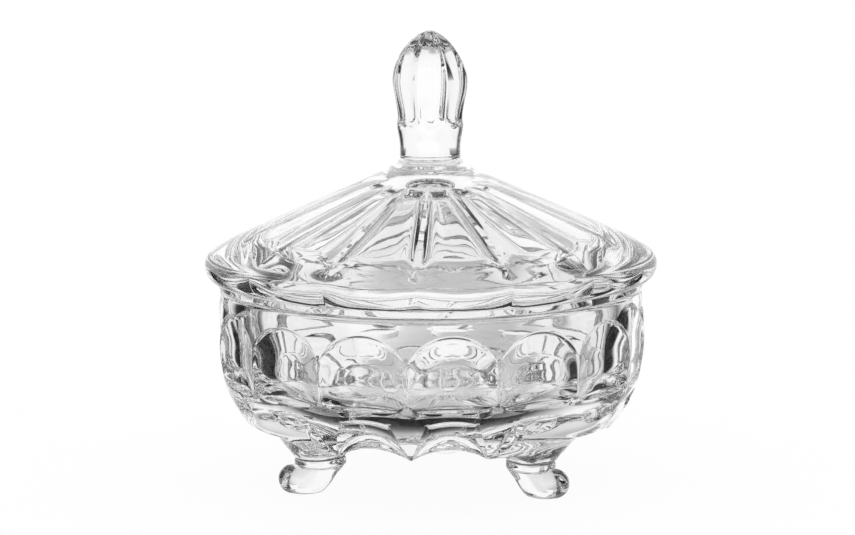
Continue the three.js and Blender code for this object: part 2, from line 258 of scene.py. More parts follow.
class FinialSizes(bpy.types.PropertyGroup):
    """The finial: a neck and a bud with upright flutes; heights are counted from the lid's seat."""

    turn: angle("Turn", 10, "How far the flutes are turned from the front")
    flutes: number("Flutes", 8, "Flutes round the bud")
    flute_depth: size("Flute depth", 1.5, "Depth of a flute")
    flute_run: size("Flute run", 1.68, "Height over which a flute deepens from its foot")
    bow_share: share("Bow width", 0.96, "Width of a flute's hollow as a share of a flute")
    collar_radius: size("Collar radius", 11.2, "Radius where the lid's cone meets the collar")
    collar_height: size("Collar height", 40.4, "Height of the collar")
    collar_step: size("Collar step", 0.7, "How far the collar's ring stands out")
    collar_round: size("Collar rounding", 0.8, "Rounding where the cone meets the collar")
    neck_radius: size("Neck radius", 10, "Radius of the neck")
    neck_height: size("Neck height", 45.5, "Height where the neck starts to swell")
    bud_foot_radius: size("Bud foot radius", 11.2, "Radius at the flutes' feet")
    bud_foot_height: size("Bud foot height", 55, "Height of the ridges' feet")
    bud_radius: size("Bud radius", 13.1, "Radius of the bud at its widest")
    bud_height: size("Bud height", 68.2, "Height of the widest place")
    bud_arch: size("Bud arch", 2.4, "How far the flutes' feet reach below the ridges")
    top: size("Top", 84.4, "Height of the tip")


class GlassLook(bpy.types.PropertyGroup):
    """Clear fire-polished glass."""

    colour: bpy.props.FloatVectorProperty(
        name="Colour",
        description="Colour of the glass, nearly white",
        default=(0.996, 0.998, 0.997),
        subtype="COLOR",
        min=0,
        max=1,
    )
    bending: bpy.props.FloatProperty(
        name="Index of refraction",
        description="How strongly the glass bends light",
        default=1.52,
    )
    haze: share("Haze", 0.012, "Greatest roughness of the fire-polished skin")
    ripple: size("Ripple", 0.05, "Height of the skin's faint ripples")
    ripple_width: size("Ripple width", 14, "Width of those ripples")


class StageLook(bpy.types.PropertyGroup):
    """Studio: a white table between white backdrops behind and before it in a dark room, and the camera."""

    floor_radius: size("Floor radius", 1600, "Radius of the floor")
    floor_gap: size("Floor gap", 0.05, "Gap between soles and floor")
    fade_at: share("Fade at", 0.6, "Middle of the floor's fading edge as a share of its radius")
    fade_width: share("Fade width", 0.7, "Width of that edge as a share of the radius")
    floor_colour: bpy.props.FloatVectorProperty(
        name="Floor colour",
        description="Colour of the floor",
        default=(0.99, 0.99, 0.99),
        subtype="COLOR",
        min=0,
        max=1,
    )
    floor_glow: share("Floor glow", 0.95, "How far the floor's shadow is lifted towards white")
    backdrop: angle("Backdrop", 52, "Half width of the white backdrops, seen through the glass")
    backdrop_edge: angle("Backdrop edge", 12, "Angle over which a backdrop darkens")
    front_dark: share("Front darkness", 0.12, "How much darker the white is before the dish than behind it")
    front_edge: share("Front edge", 0.2, "How softly that darkness starts beside the dish")
    strip_near: size("Strip near", 25, "Where the dark strip before the dish starts, seen through the glass")
    strip_far: size("Strip far", 220, "Where that strip ends towards the front")
    table_side: size("Table side", 90, "Half width of the white table beside the dish")
    table_fan: share("Table fan", 0.6, "How much wider the table grows behind and before the dish")
    table_edge: size("Table edge", 60, "Width over which the table darkens")
    # Painted shade: a darker patch of the table under and behind the dish, seen only through the glass
    shade_from: size("Shade from", -80, "Where the shade under the dish starts, seen through the glass")
    shade_to: size("Shade to", 190, "Where that shade ends behind the dish")
    shade_edge: size("Shade edge", 40, "Width over which the shade darkens")
    shade_side: size("Shade side", 32, "Half width of that shade")
    shade_dark: share("Shade darkness", 0.45, "How dark that shade is")
    room: share("Room", 0.02, "Brightness of the dark room round table and backdrops, seen through the glass")
    azimuth: angle("Azimuth", 6.5, "How far the camera stands to the right of the front")
    elevation: angle("Elevation", 9.2, "How far the camera looks down")
    roll: angle("Roll", -0.3, "How far the camera is tilted")
    distance: size("Distance", 1200, "From the camera to the dish's axis")
    aim_height: size("Aim height", 72.2, "Height that the camera looks at")
    aim_side: size("Aim side", -1.1, "How far beside the axis the camera looks, to the right")
    view_width: size("View width", 285, "Width of the picture at the axis")


class CandyDish(bpy.types.PropertyGroup):
    """All settings of the candy dish and its studio."""

    bowl: bpy.props.PointerProperty(type=BowlSizes)
    feet: bpy.props.PointerProperty(type=FootSizes)
    lid: bpy.props.PointerProperty(type=LidSizes)
    finial: bpy.props.PointerProperty(type=FinialSizes)
    glass: bpy.props.PointerProperty(type=GlassLook)
    stage: bpy.props.PointerProperty(type=StageLook)


# Curves and meshes


def lerp(start, end, part):
    """The value a part of the way from the start to the end."""
    return start + (end - start) * part


def ease(part):
    """From 0 to 1 with level ends."""
    part = np.clip(part, 0.0, 1.0)
    return part * part * (3.0 - 2.0 * part)


def above_zero(value, softness):
    """The value where it is positive and 0 elsewhere, with a soft bend between."""
    return (value + np.sqrt(value * value + softness * softness)) / 2.0


def quarter(part):
    """From 0 to 1 along a quarter circle that starts steeply."""
    return np.sqrt(1.0 - (1.0 - np.clip(part, 0.0, 1.0)) ** 2)


def dome(part):
    """From 0 to 1 along half a flat arch."""
    return 1.0 - (1.0 - np.clip(part, 0.0, 1.0)) ** 2


def through(knots, steps):
    """Points on a smooth curve through the knots, each given as a row of numbers."""
    knots = np.array(knots, float)
    ends = np.vstack([2 * knots[0] - knots[1], knots, 2 * knots[-1] - knots[-2]])
    points = []
    for before, start, end, after in zip(ends, ends[1:], ends[2:], ends[3:]):
        for part in np.arange(steps) / steps:
            leave = (end - before) / 2.0
            arrive = (after - start) / 2.0
            rest = 1.0 - part
            points.append(
                start * rest * rest * (1.0 + 2.0 * part)
                + leave * part * rest * rest
                + end * part * part * (3.0 - 2.0 * part)
                - arrive * part * part * rest
            )
    points.append(knots[-1])
    return np.array(points)


def rounded(corners, steps):
    """Points along straight edges whose corners, given with a reach each, are rounded."""
    points = [np.array(corners[0][:2])]
    for before, corner, after in zip(corners, corners[1:], corners[2:]):
        middle, reach = np.array(corner[:2]), corner[2]
        back = np.array(before[:2]) - middle
        ahead = np.array(after[:2]) - middle
        start = middle + back * min(0.49, reach / np.linalg.norm(back))
        end = middle + ahead * min(0.49, reach / np.linalg.norm(ahead))
        for part in np.linspace(0.0, 1.0, steps):
            points.append(lerp(lerp(start, middle, part), lerp(middle, end, part), part))
    points.append(np.array(corners[-1][:2]))
    return np.array(points)


class Sector:
    """Rows of points across one sector of a round piece, with how far the mould presses each point."""

    def __init__(self):
        self.points = []
        self.presses = []

    def row(self, radius, angles, height, inward=0.0, upward=0.0):
        """Adds one row; inward and upward are shares of the pattern's depth."""
        radius, height, inward, upward, angles = np.broadcast_arrays(radius, height, inward, upward, angles)
        sine, cosine = np.sin(angles), np.cos(angles)
        self.points.append(np.stack([radius * sine, -radius * cosine, height], axis=1))
        self.presses.append(np.stack([-inward * sine, inward * cosine, upward], axis=1))

    def mesh(self, name):
        """The rows as a mesh of quads that holds the presses as an attribute."""
        points = np.array(self.points)
        rows, columns = points.shape[:2]
        numbers = np.arange(rows * columns).reshape(rows, columns)
        low, high = numbers[:-1], numbers[1:]
        faces = np.stack([low[:, :-1], low[:, 1:], high[:, 1:], high[:, :-1]], axis=-1)
        mesh = bpy.data.meshes.new(name)
        mesh.from_pydata(points.reshape(-1, 3).tolist(), [], faces.reshape(-1, 4).tolist())
        press = mesh.attributes.new("press", "FLOAT_VECTOR", "POINT")
        press.data.foreach_set("vector", np.array(self.presses, np.float32).ravel())
        return mesh


def press_and_repeat():
    """Geometry Nodes tree that presses a sector's pattern in and repeats the sector round the axis."""
    name = "Press and repeat"
    if name in bpy.data.node_groups:
        return bpy.data.node_groups[name]
    tree = bpy.data.node_groups.new(name, "GeometryNodeTree")
    sockets = {
        "Geometry": "NodeSocketGeometry",
        "Copies": "NodeSocketInt",
        "Depth": "NodeSocketFloat",
        "Weld": "NodeSocketFloat",
        "Material": "NodeSocketMaterial",
    }
    for label, kind in sockets.items():
        tree.interface.new_socket(label, in_out="INPUT", socket_type=kind)
    tree.interface.new_socket("Geometry", in_out="OUTPUT", socket_type="NodeSocketGeometry")
    make, link = tree.nodes.new, tree.links.new
    given = make("NodeGroupInput")

    press = make("GeometryNodeInputNamedAttribute")
    press.data_type = "FLOAT_VECTOR"
    press.inputs["Name"].default_value = "press"
    offset = make("ShaderNodeVectorMath")
    offset.operation = "SCALE"
    link(press.outputs["Attribute"], offset.inputs[0])
    link(given.outputs["Depth"], offset.inputs["Scale"])
    pressed = make("GeometryNodeSetPosition")
    link(given.outputs["Geometry"], pressed.inputs["Geometry"])
    link(offset.outputs["Vector"], pressed.inputs["Offset"])

    places = make("GeometryNodeMeshLine")
    places.inputs["Offset"].default_value = (0.0, 0.0, 0.0)
    link(given.outputs["Copies"], places.inputs["Count"])
    index = make("GeometryNodeInputIndex")
    part = make("ShaderNodeMath")
    part.operation = "DIVIDE"
    link(index.outputs["Index"], part.inputs[0])
    link(given.outputs["Copies"], part.inputs[1])
    turn = make("ShaderNodeMath")
    turn.operation = "MULTIPLY"
    turn.inputs[1].default_value = 2.0 * math.pi
    link(part.outputs["Value"], turn.inputs[0])
    rotation = make("ShaderNodeCombineXYZ")
    link(turn.outputs["Value"], rotation.inputs["Z"])
    copies = make("GeometryNodeInstanceOnPoints")
    link(places.outputs["Mesh"], copies.inputs["Points"])
    link(pressed.outputs["Geometry"], copies.inputs["Instance"])
    link(rotation.outputs["Vector"], copies.inputs["Rotation"])

    whole = make("GeometryNodeRealizeInstances")
    link(copies.outputs["Instances"], whole.inputs["Geometry"])
    weld = make("GeometryNodeMergeByDistance")
    link(whole.outputs["Geometry"], weld.inputs["Geometry"])
    link(given.outputs["Weld"], weld.inputs["Distance"])
    smooth = make("GeometryNodeSetShadeSmooth")
    link(weld.outputs["Geometry"], smooth.inputs["Geometry"])
    painted = make("GeometryNodeSetMaterial")
    link(smooth.outputs["Geometry"], painted.inputs["Geometry"])
    link(given.outputs["Material"], painted.inputs["Material"])
    result = make("NodeGroupOutput")
    link(painted.outputs["Geometry"], result.inputs["Geometry"])
    return tree


def plain_copy(context, item, name):
    """The mesh of an object with its modifiers applied."""
    context.view_layer.update()
    shown = item.evaluated_get(context.evaluated_depsgraph_get())
    mesh = bpy.data.meshes.new_from_object(shown)
    mesh.name = name
    return mesh


def pressed_round(context, sector, name, copies, depth, material):
    """A new object with the sector pressed and repeated round the axis, as a plain mesh."""
    item = bpy.data.objects.new(name, sector)
    context.scene.collection.objects.link(item)
    tree = press_and_repeat()
    modifier = item.modifiers.new("Press and repeat", "NODES")
    modifier.node_group = tree
    values = {"Copies": copies, "Depth": depth, "Weld": WELD, "Material": material}
    for socket in tree.interface.items_tree:
        if socket.in_out == "INPUT" and socket.name in values:
            modifier[socket.identifier] = values[socket.name]
    mesh = plain_copy(context, item, name)
    item.modifiers.clear()
    item.data = mesh
    if "press" in mesh.attributes:
        mesh.attributes.remove(mesh.attributes["press"])
    return item


def join_into(context, main, extra):
    """Joins closed objects into the main one, so that it stays one closed skin."""
    for item in extra:
        modifier = main.modifiers.new("Join", "BOOLEAN")
        modifier.operation = "UNION"
        modifier.solver = "EXACT"
        modifier.object = item
    mesh = plain_copy(context, main, main.name)
    main.modifiers.clear()
    main.data = mesh
    for item in extra:
        bpy.data.objects.remove(item)


def finish_piece(piece, body):
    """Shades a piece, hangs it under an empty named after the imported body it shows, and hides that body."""
    mesh = piece.data
    mesh.polygons.foreach_set("use_smooth", [True] * len(mesh.polygons))
    mesh.set_sharp_from_angle(angle=CREASE)
    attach(piece, body)
    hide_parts(body)


# Bowl


def bowl_radius(bowl, height):
    """Outer radius of the bowl before its flutes and scoops are pressed in."""
    waist = bowl.rim_radius + bowl.waist_swell
    upper = lerp(waist, bowl.rim_radius, (height - bowl.waist_height) / (bowl.rim_height - bowl.waist_height))
    drop = np.clip((bowl.waist_height - height) / bowl.underside_height, 0.0, 1.0)
    lower = waist - bowl.underside_width * (1.0 - np.sqrt(1.0 - drop * drop))
    return np.where(height >= bowl.waist_height, upper, lower)


def hip_offset(bowl, feet, angles):
    """How far an angle is from the nearest foot, as a share of half a hip."""
    period = 2.0 * math.pi / feet.count
    half_hip = feet.hip_flutes * math.pi / bowl.flutes
    return np.abs(np.mod(angles, period) - period / 2.0) / half_hip


def leaf_edges(bowl, part):
    """Fullness, inner edge and outer edge of the leaf facets, a part of the way down the scoops."""
    fullness = 4.0 * part * (1.0 - part)
    outer = lerp(bowl.fan_top_share, bowl.fan_foot_share, part)
    return fullness, outer - bowl.leaf_share * fullness, outer


def scoop_columns(bowl, feet, centres, shares, part):
    """Reach of the columns from their scoop's middle, their angles, and the scoop's top and foot on them."""
    _, inner, outer = leaf_edges(bowl, part)
    away = np.abs(shares)
    top = bowl.fan_top_share
    facet = bowl.facet_share * top
    on_facet = lerp(inner, outer, (away - facet) / (top - facet))
    beside = lerp(outer, 1.0, (away - top) / (1.0 - top))
    reach = np.where(away <= facet, inner * away / facet, np.where(away <= top, on_facet, beside))
    angles = centres + np.sign(shares) * reach * math.pi / bowl.flutes
    hip_arch = ease((feet.arch_end - hip_offset(bowl, feet, angles)) / feet.arch_width)
    arch = np.where(hip_offset(bowl, feet, centres) < 1.0, hip_arch, 1.0 - reach * reach)
    border = bowl.fan_top - bowl.fan_arc * np.minimum(1.0, reach / top) ** 2
    return reach, angles, border, bowl.tooth_height + bowl.tooth_arch * arch


def fitted_part(bowl, feet, centres, shares, step):
    """How far down the scoops a row is: on a hip it is fitted to the lower edge of the lens."""
    part = np.full_like(shares, step)
    on_hip = hip_offset(bowl, feet, centres) < 1.0
    beside = ease((np.abs(shares) - bowl.fan_top_share) / (1.0 - bowl.fan_top_share))
    for _ in range(LENS_PASSES):
        reach, _, border, foot = scoop_columns(bowl, feet, centres, shares, part)
        across = np.minimum(1.0, reach / leaf_edges(bowl, part)[2])
        edge = feet.hip_lens * (1.0 - LENS_ENDS * across**2) / (border - foot)
        edge = lerp(edge, feet.lens_step, beside)
        fitted = edge * step / feet.lens_step
        if step > feet.lens_step:
            fitted = lerp(edge, 1.0, (step - feet.lens_step) / (1.0 - feet.lens_step))
        part = np.where(on_hip, fitted, step)
    return part


def add_scoops(sector, bowl, feet, centres, shares, steps):
    """Rows of the scoops, at steps from 0 at their top to 1 at the tooth tips."""
    on_hip = hip_offset(bowl, feet, centres) < 1.0
    from_foot = hip_offset(bowl, feet, centres + shares * math.pi / bowl.flutes)
    has_leaf = np.where(on_hip, from_foot > feet.leaf_from, True)
    for step in steps:
        part = fitted_part(bowl, feet, centres, shares, step)
        reach, angles, border, foot = scoop_columns(bowl, feet, centres, shares, part)
        fullness, inner, outer = leaf_edges(bowl, part)
        height = lerp(border, foot, part)
        clear = np.where(on_hip, ease((feet.lens_step - step) / feet.lens_blend), 1.0)
        slope = fullness * np.clip((outer - reach) / (bowl.leaf_share * fullness + TINY), 0.0, 1.0)
        leaf = slope * has_leaf * np.maximum(clear, ease(1.0 - (inner - reach) / bowl.leaf_wall))
        bow = above_zero(1.0 - (reach / (inner + BEND)) ** 2, BEND)
        hollow = bow * quarter(part / bowl.fan_cap) * clear
        press = leaf * bowl.leaf_depth + hollow * bowl.fan_depth
        sector.row(bowl_radius(bowl, height), angles, height, inward=press / bowl.flute_depth)


def scoop_steps(feet):
    """Steps of the scoops' rows from the tooth tips up, with close rows at a lens's lower edge."""
    steps = 1.0 - np.sin(np.linspace(0.0, math.pi / 2.0, SCOOP_ROWS))
    lens_rows = feet.lens_step - feet.lens_blend * np.linspace(0.0, 1.0, LENS_ROWS)
    apart = np.min(np.abs(steps[:, None] - lens_rows), axis=1)
    steps = np.concatenate([steps[apart > LENS_SPACING * feet.lens_blend], lens_rows])
    return np.sort(steps)[::-1]


def add_base(sector, bowl, feet, centres, shares):
    """Rows of the underside, from its middle over the rays to the tooth tips."""
    angles = centres + shares * math.pi / bowl.flutes
    edge = Sector()
    add_scoops(edge, bowl, feet, centres, shares, [1.0])
    points = edge.points[0] + edge.presses[0] * bowl.flute_depth
    edge_radius = np.hypot(points[:, 0], points[:, 1])
    edge_angles = np.arctan2(points[:, 0], -points[:, 1])
    turned = np.mod(edge_angles - angles + math.pi, 2.0 * math.pi) - math.pi
    ray = above_zero(1.0 - (shares / bowl.ray_share) ** 2, BEND) * bowl.ray_depth / bowl.flute_depth
    sector.row(0.0, angles, bowl.base_height)
    for radius in np.linspace(bowl.ray_radius, bowl.base_radius, BASE_ROWS)[:-1]:
        grown = ease((radius - bowl.ray_radius) / (bowl.base_radius - bowl.ray_radius))
        sector.row(radius, angles, bowl.base_height, upward=ray * grown)
    for part in np.linspace(0.0, BASE_END, BASE_EDGE_ROWS):
        height = lerp(bowl.base_height, points[:, 2], ease(part) * part)
        radius = lerp(bowl.base_radius, edge_radius, part)
        sector.row(radius, angles + turned * part, height, upward=ray * (1.0 - ease(part)))


def add_flutes(sector, bowl, angles, shares):
    """Rows of the arched flutes, from their feet up."""
    half_width = (bowl.rim_radius + bowl.waist_swell) * math.sin(math.pi / bowl.flutes)
    arch_radius = (half_width**2 + bowl.arch_rise**2) / (2.0 * bowl.arch_rise)
    arch = bowl.arch_crest - arch_radius + np.sqrt(arch_radius**2 - (shares * half_width) ** 2)
    past = np.maximum(0.0, (np.abs(shares) - 1.0) * half_width + bowl.flute_corner)
    foot = bowl.flute_foot + bowl.flute_corner - np.sqrt(bowl.flute_corner**2 - past**2)
    bow = above_zero(1.0 - (shares / bowl.bow_share) ** 2, BEND)
    lip = bowl.arch_lip
    lip_parts = np.linspace(0.0, 1.0, LIP_ROWS)
    heights = [foot + lip * part for part in lip_parts[:-1]]
    heights += [lerp(foot + lip, arch - lip, part) for part in np.linspace(0.0, 1.0, FLUTE_ROWS)]
    heights += [arch - lip * part for part in lip_parts[-2::-1]]
    for height in heights:
        below = arch - height
        above = height - foot
        upper = lerp(ease(below / bowl.arch_run), ease(below / lip), bowl.arch_step)
        lower = lerp(ease(above / bowl.foot_run), ease(above / lip), bowl.foot_step)
        sector.row(bowl_radius(bowl, height), angles, height, inward=bow * upper * lower)


def add_band_and_inside(sector, bowl, angles, band_from):
    """Rows of the plain band below the rim, the rim, and the inside down to the middle of its floor."""
    mouth = bowl.rim_radius - bowl.wall
    band_to = bowl.rim_height - 2.0 * bowl.rim_edge
    for part in np.linspace(0.0, 1.0, BAND_ROWS)[1:]:
        height = lerp(band_from, band_to, part)
        sector.row(bowl_radius(bowl, height), angles, height)
    rim = rounded(
        [
            (float(bowl_radius(bowl, band_to)), band_to),
            (bowl.rim_radius, bowl.rim_height, bowl.rim_edge),
            (mouth, bowl.rim_height, bowl.rim_edge),
            (mouth, band_to),
        ],
        RIM_STEPS,
    )
    for radius, height in rim[1:]:
        sector.row(radius, angles, height)
    inner = mouth - bowl.inner_taper
    corner_top = bowl.floor_height + bowl.floor_corner_height
    for part in np.linspace(0.0, 1.0, WALL_ROWS)[1:-1]:
        sector.row(lerp(mouth, inner, part * part), angles, lerp(band_to, corner_top, part))
    for turn in np.linspace(0.0, math.pi / 2.0, CORNER_ROWS):
        radius = inner - bowl.floor_corner_width * (1.0 - math.cos(turn))
        sector.row(radius, angles, corner_top - bowl.floor_corner_height * math.sin(turn))
    for part in (0.75, 0.5, 0.25, 0.0):
        sector.row((inner - bowl.floor_corner_width) * part, angles, bowl.floor_height)


def flute_columns(bowl, feet):
    """Centre angle and share of the half width for each column of one foot's sector."""
    top = bowl.fan_top_share
    facet = bowl.facet_share * top
    curve = np.sin(np.linspace(0.0, math.pi / 2.0, FLUTE_COLUMNS))
    on_facet = np.linspace(facet, top, FACET_COLUMNS)
    half = np.concatenate([facet * curve[:-1], on_facet[:-1], lerp(top, 1.0, curve)])
    shares = np.concatenate([-half[:0:-1], half])
    flutes = bowl.flutes // feet.count
    centres = (2.0 * np.arange(flutes) + 1.0) * math.pi / bowl.flutes
    columns = [(centre, part) for centre in centres for part in shares[:-1]]
    columns.append((centres[-1], 1.0))
    centre, part = np.array(columns).T
    return centre, part


def bowl_sector(bowl, feet):
    """One foot's sector of the bowl, from the middle of its base up the outside and down the inside."""
    centres, shares = flute_columns(bowl, feet)
    angles = centres + shares * math.pi / bowl.flutes
    sector = Sector()
    add_base(sector, bowl, feet, centres, shares)
    add_scoops(sector, bowl, feet, centres, shares, scoop_steps(feet))
    flutes = Sector()
    add_flutes(flutes, bowl, angles, shares)
    foot = flutes.points[0][:, 2]
    border = sector.points[-1][:, 2]
    for part in (0.25, 0.5, 0.75):
        height = lerp(border, foot, part)
        sector.row(bowl_radius(bowl, height), angles, height)
    sector.points += flutes.points
    sector.presses += flutes.presses
    add_band_and_inside(sector, bowl, angles, flutes.points[-1][:, 2])
    return sector.mesh("bowl_sector")


def leg_mesh(bowl, feet):
    """One leg at the middle of its sector: bent ovals from the flat sole, over the bead, into the hip."""
    top = bowl.tooth_height + bowl.tooth_arch + feet.hip_lap
    edge = float(bowl_radius(bowl, top - feet.hip_lap))
    hip = edge - feet.hip_length / 2.0
    hip_width = 2.0 * edge * feet.hip_flutes * math.pi / bowl.flutes * feet.hip_spread

    def ankle(height, swell):
        length = feet.ankle_length + 2.0 * swell
        width = feet.ankle_width + 2.0 * swell
        return height, feet.ankle_radius, length, width, 2.0

    def instep(height, forward, part):
        length = lerp(feet.sole_length + 2.0 * feet.sole_edge, feet.instep_length, ease(2.0 * part))
        length = lerp(length, feet.ankle_length, ease(2.0 * part - 1.0))
        width = lerp(feet.sole_width + 2.0 * feet.sole_edge, feet.ankle_width, part)
        square = lerp(2.0, 2.5, math.sin(math.pi * part))
        return height, lerp(feet.ankle_radius, feet.sole_radius, forward), length, width, square

    def thigh(rise, outward, length_share, width_share, square):
        return (
            lerp(feet.knee_height, top, rise),
            lerp(feet.ankle_radius, hip, outward),
            lerp(feet.knee_length, feet.hip_length, length_share),
            lerp(feet.knee_width, hip_width, width_share),
            square,
        )

    bead_low = feet.ankle_height - feet.bead_height / 2.0
    bead_high = feet.ankle_height + feet.bead_height / 2.0
    rings = through(
        [
            (0.0, feet.sole_radius, feet.sole_length, feet.sole_width, 2.0),
            instep(0.45 * feet.sole_edge, 1.0, 0.0),
            instep(lerp(feet.sole_edge, bead_low, 0.2), 0.9, 0.35),
            instep(lerp(feet.sole_edge, bead_low, 0.55), 0.65, 0.55),
            instep(lerp(feet.sole_edge, bead_low, 0.85), 0.25, 0.8),
            ankle(bead_low, 0.0),
            ankle(lerp(bead_low, bead_high, 0.15), 0.8 * feet.bead),
            ankle(feet.ankle_height, feet.bead),
            ankle(lerp(bead_low, bead_high, 0.85), 0.9 * feet.bead),
            ankle(bead_high, 0.5 * feet.bead),
            thigh(0.0, 0.05, 0.0, 0.0, 2.2),
            thigh(0.45, 0.18, 0.35, 0.28, 2.4),
            thigh(0.75, 0.52, 0.75, 0.6, 2.7),
            thigh(1.0, 1.0, 1.0, 1.0, 3.0),
        ],
        LEG_STEPS,
    )
    root = bowl.base_height + feet.root
    closed = [(0.0, feet.sole_radius, 0.0, 0.0, 2.0), *rings, (root, *rings[-1][1:])]
    closed.append((root, hip, 0.0, 0.0, 2.0))
    middle = math.pi / feet.count
    around = np.linspace(0.0, 2.0 * math.pi, LEG_SIDES)
    cosine, sine = np.cos(around), np.sin(around)
    sector = Sector()
    for height, centre, length, width, squareness in closed:
        outward = np.sign(cosine) * np.abs(cosine) ** (2.0 / squareness)
        sideways = np.sign(sine) * np.abs(sine) ** (2.0 / squareness)
        narrowing = 1.0 - feet.toe_narrowing * outward * (height < bead_low)
        angles = middle + width / 2.0 * sideways * narrowing / max(centre, feet.ankle_radius)
        sector.row(centre + length / 2.0 * outward, angles, height)
    return sector.mesh("leg")


def toe_mesh(feet):
    """The ball of one toe, just above the table."""
    middle = math.pi / feet.count
    around = np.linspace(0.0, 2.0 * math.pi, TOE_SIDES)
    sector = Sector()
    for turn in np.linspace(-math.pi / 2.0, math.pi / 2.0, TOE_ROWS):
        ring = feet.toe_radius * math.cos(turn)
        out = feet.toe_reach + ring * np.cos(around)
        side = ring * np.sin(around)
        height = feet.toe_lift + feet.toe_radius * (1.0 + math.sin(turn))
        sector.row(np.hypot(out, side), middle + np.arctan2(side, out), height)
    return sector.mesh("toe")


class DISH_OT_bowl(bpy.types.Operator):
    """Builds the bowl with its feet"""

    bl_idname = "dish.bowl"
    bl_label = "Build bowl"

    def execute(self, context):
        dish = context.scene.candy_dish
        bowl, feet = dish.bowl, dish.feet
        glass = pressed_glass(dish.glass)
        sector = bowl_sector(bowl, feet)
        piece = pressed_round(context, sector, "bowl_glass", feet.count, bowl.flute_depth, glass)
        legs = pressed_round(context, leg_mesh(bowl, feet), "legs", feet.count, 0.0, glass)
        toes = pressed_round(context, toe_mesh(feet), "toes", feet.count, 0.0, glass)
        join_into(context, piece, [legs, toes])
        finish_piece(piece, "bowl")
        return {"FINISHED"}


# Lid


def add_underside(sector, bowl, lid, angles, petal, seat):
    """Rows of the lid's underside, from its middle over the petals to the ring's inner edge."""
    bar_radius = lid.petal_outer_radius - lid.petal_scallop
    slope = (lid.bar_top_height - lid.bar_foot_height) / (bar_radius - lid.petal_inner_radius)
    for part in (0.0, 0.25, 0.5, 0.75):
        height = lerp(lid.crown_height, lid.bar_top_height, part * part)
        sector.row(lid.petal_inner_radius * part, angles, seat + height)
    outer = lid.petal_outer_radius - lid.petal_scallop * petal * petal
    bow = above_zero(1.0 - (petal / (1.0 - lid.bar_share)) ** PETAL_FLATNESS, BEND)
    for step in 0.5 - 0.5 * np.cos(np.linspace(0.0, math.pi, PETAL_ROWS)):
        radius = lerp(lid.petal_inner_radius, outer, step)
        press = bow * ease(step / lid.petal_start) * dome((1.0 - step) / lid.petal_end)
        height = seat + lid.bar_foot_height + slope * (bar_radius - radius)
        sector.row(radius, angles, height, upward=press)
    ring_inner = bowl.rim_radius - bowl.wall - lid.ring_clearance - lid.ring_width
    edge = seat + lid.bar_foot_height + slope * (bar_radius - outer)
    for part in (0.2, 0.4, 0.6, 0.8):
        sector.row(lerp(outer, ring_inner, part), angles, lerp(edge, seat, part))


def lid_profile(bowl, lid, finial):
    """Radius and height from the ring's inner edge, over ring, seat, rounded edge and cone, to the neck."""
    ring_outer = bowl.rim_radius - bowl.wall - lid.ring_clearance
    ring_inner = ring_outer - lid.ring_width
    seat_outer = bowl.rim_radius + lid.seat_overhang
    lid_radius = bowl.rim_radius + lid.overhang
    soft = lid.ring_width / 4.0
    ring = rounded(
        [
            (ring_inner, 0.0),
            (ring_inner + soft, -lid.ring_drop, soft),
            (ring_outer, -lid.ring_drop, soft),
            (ring_outer, 0.0, 0.3 * soft),
            (seat_outer, 0.0, 0.6 * soft),
            (seat_outer + lid.lip_flare, lid.lip_height),
        ],
        RING_STEPS,
    )
    edge = []
    for turn in np.linspace(lid.bulge_from, lid.bulge_to, BULGE_ROWS):
        radius = lid_radius - lid.bulge_width * (1.0 - math.cos(turn))
        rise = lid.bulge_height - lid.lip_height if turn < 0.0 else lid.bulge_top - lid.bulge_height
        edge.append((radius, lid.bulge_height + rise * math.sin(turn)))
    shoulder = (lid_radius - lid.shoulder_inset, lid.shoulder_height)
    cone_top = (lid.cone_top_radius, lid.cone_top_height)
    step = finial.collar_step
    cone = rounded(
        [
            edge[-1],
            (*shoulder, lid.shoulder_round),
            *[(*lerp(np.array(shoulder), np.array(cone_top), part), MM) for part in (0.25, 0.5, 0.75)],
            (*cone_top, lid.cone_top_round),
            (finial.collar_radius, finial.collar_height, finial.collar_round),
            (finial.neck_radius + step, finial.collar_height + 0.3 * step, 0.4 * step),
            (finial.neck_radius + step, finial.collar_height + 1.2 * step, 0.4 * step),
            (finial.neck_radius, finial.collar_height + 2.0 * step, step),
            (finial.neck_radius, finial.neck_height),
        ],
        CONE_STEPS,
    )
    return np.vstack([ring, edge, cone[1:-1]])


def add_finial(sector, finial, angles, seat):
    """Rows of the finial from its neck to its tip."""
    half_turn = math.pi / finial.flutes
    across = np.mod(angles - finial.turn + half_turn, 2.0 * half_turn) / half_turn - 1.0
    bow = above_zero(1.0 - (across / finial.bow_share) ** 2, 1.5 * BEND)
    foot = finial.bud_foot_height - finial.bud_arch * (1.0 - across * across)
    for height in np.linspace(finial.neck_height, finial.bud_height, BUD_ROWS)[:-1]:
        neck_part = (height - finial.neck_height) / (finial.bud_foot_height - finial.neck_height)
        bud_part = (height - finial.bud_foot_height) / (finial.bud_height - finial.bud_foot_height)
        radius = lerp(finial.neck_radius, finial.bud_foot_radius, ease(neck_part))
        radius = lerp(radius, finial.bud_radius, ease(bud_part))
        press = finial.flute_depth * bow * ease((height - foot) / finial.flute_run)
        sector.row(radius - press, angles, seat + height)
    for turn in np.linspace(0.0, math.pi / 2.0, TIP_ROWS):
        rise = math.sin(turn)
        radius = (finial.bud_radius - finial.flute_depth * bow) * (1.0 - rise**BUD_FULLNESS) ** TIP_BLUNTNESS
        sector.row(radius, angles, seat + lerp(finial.bud_height, finial.top, rise))


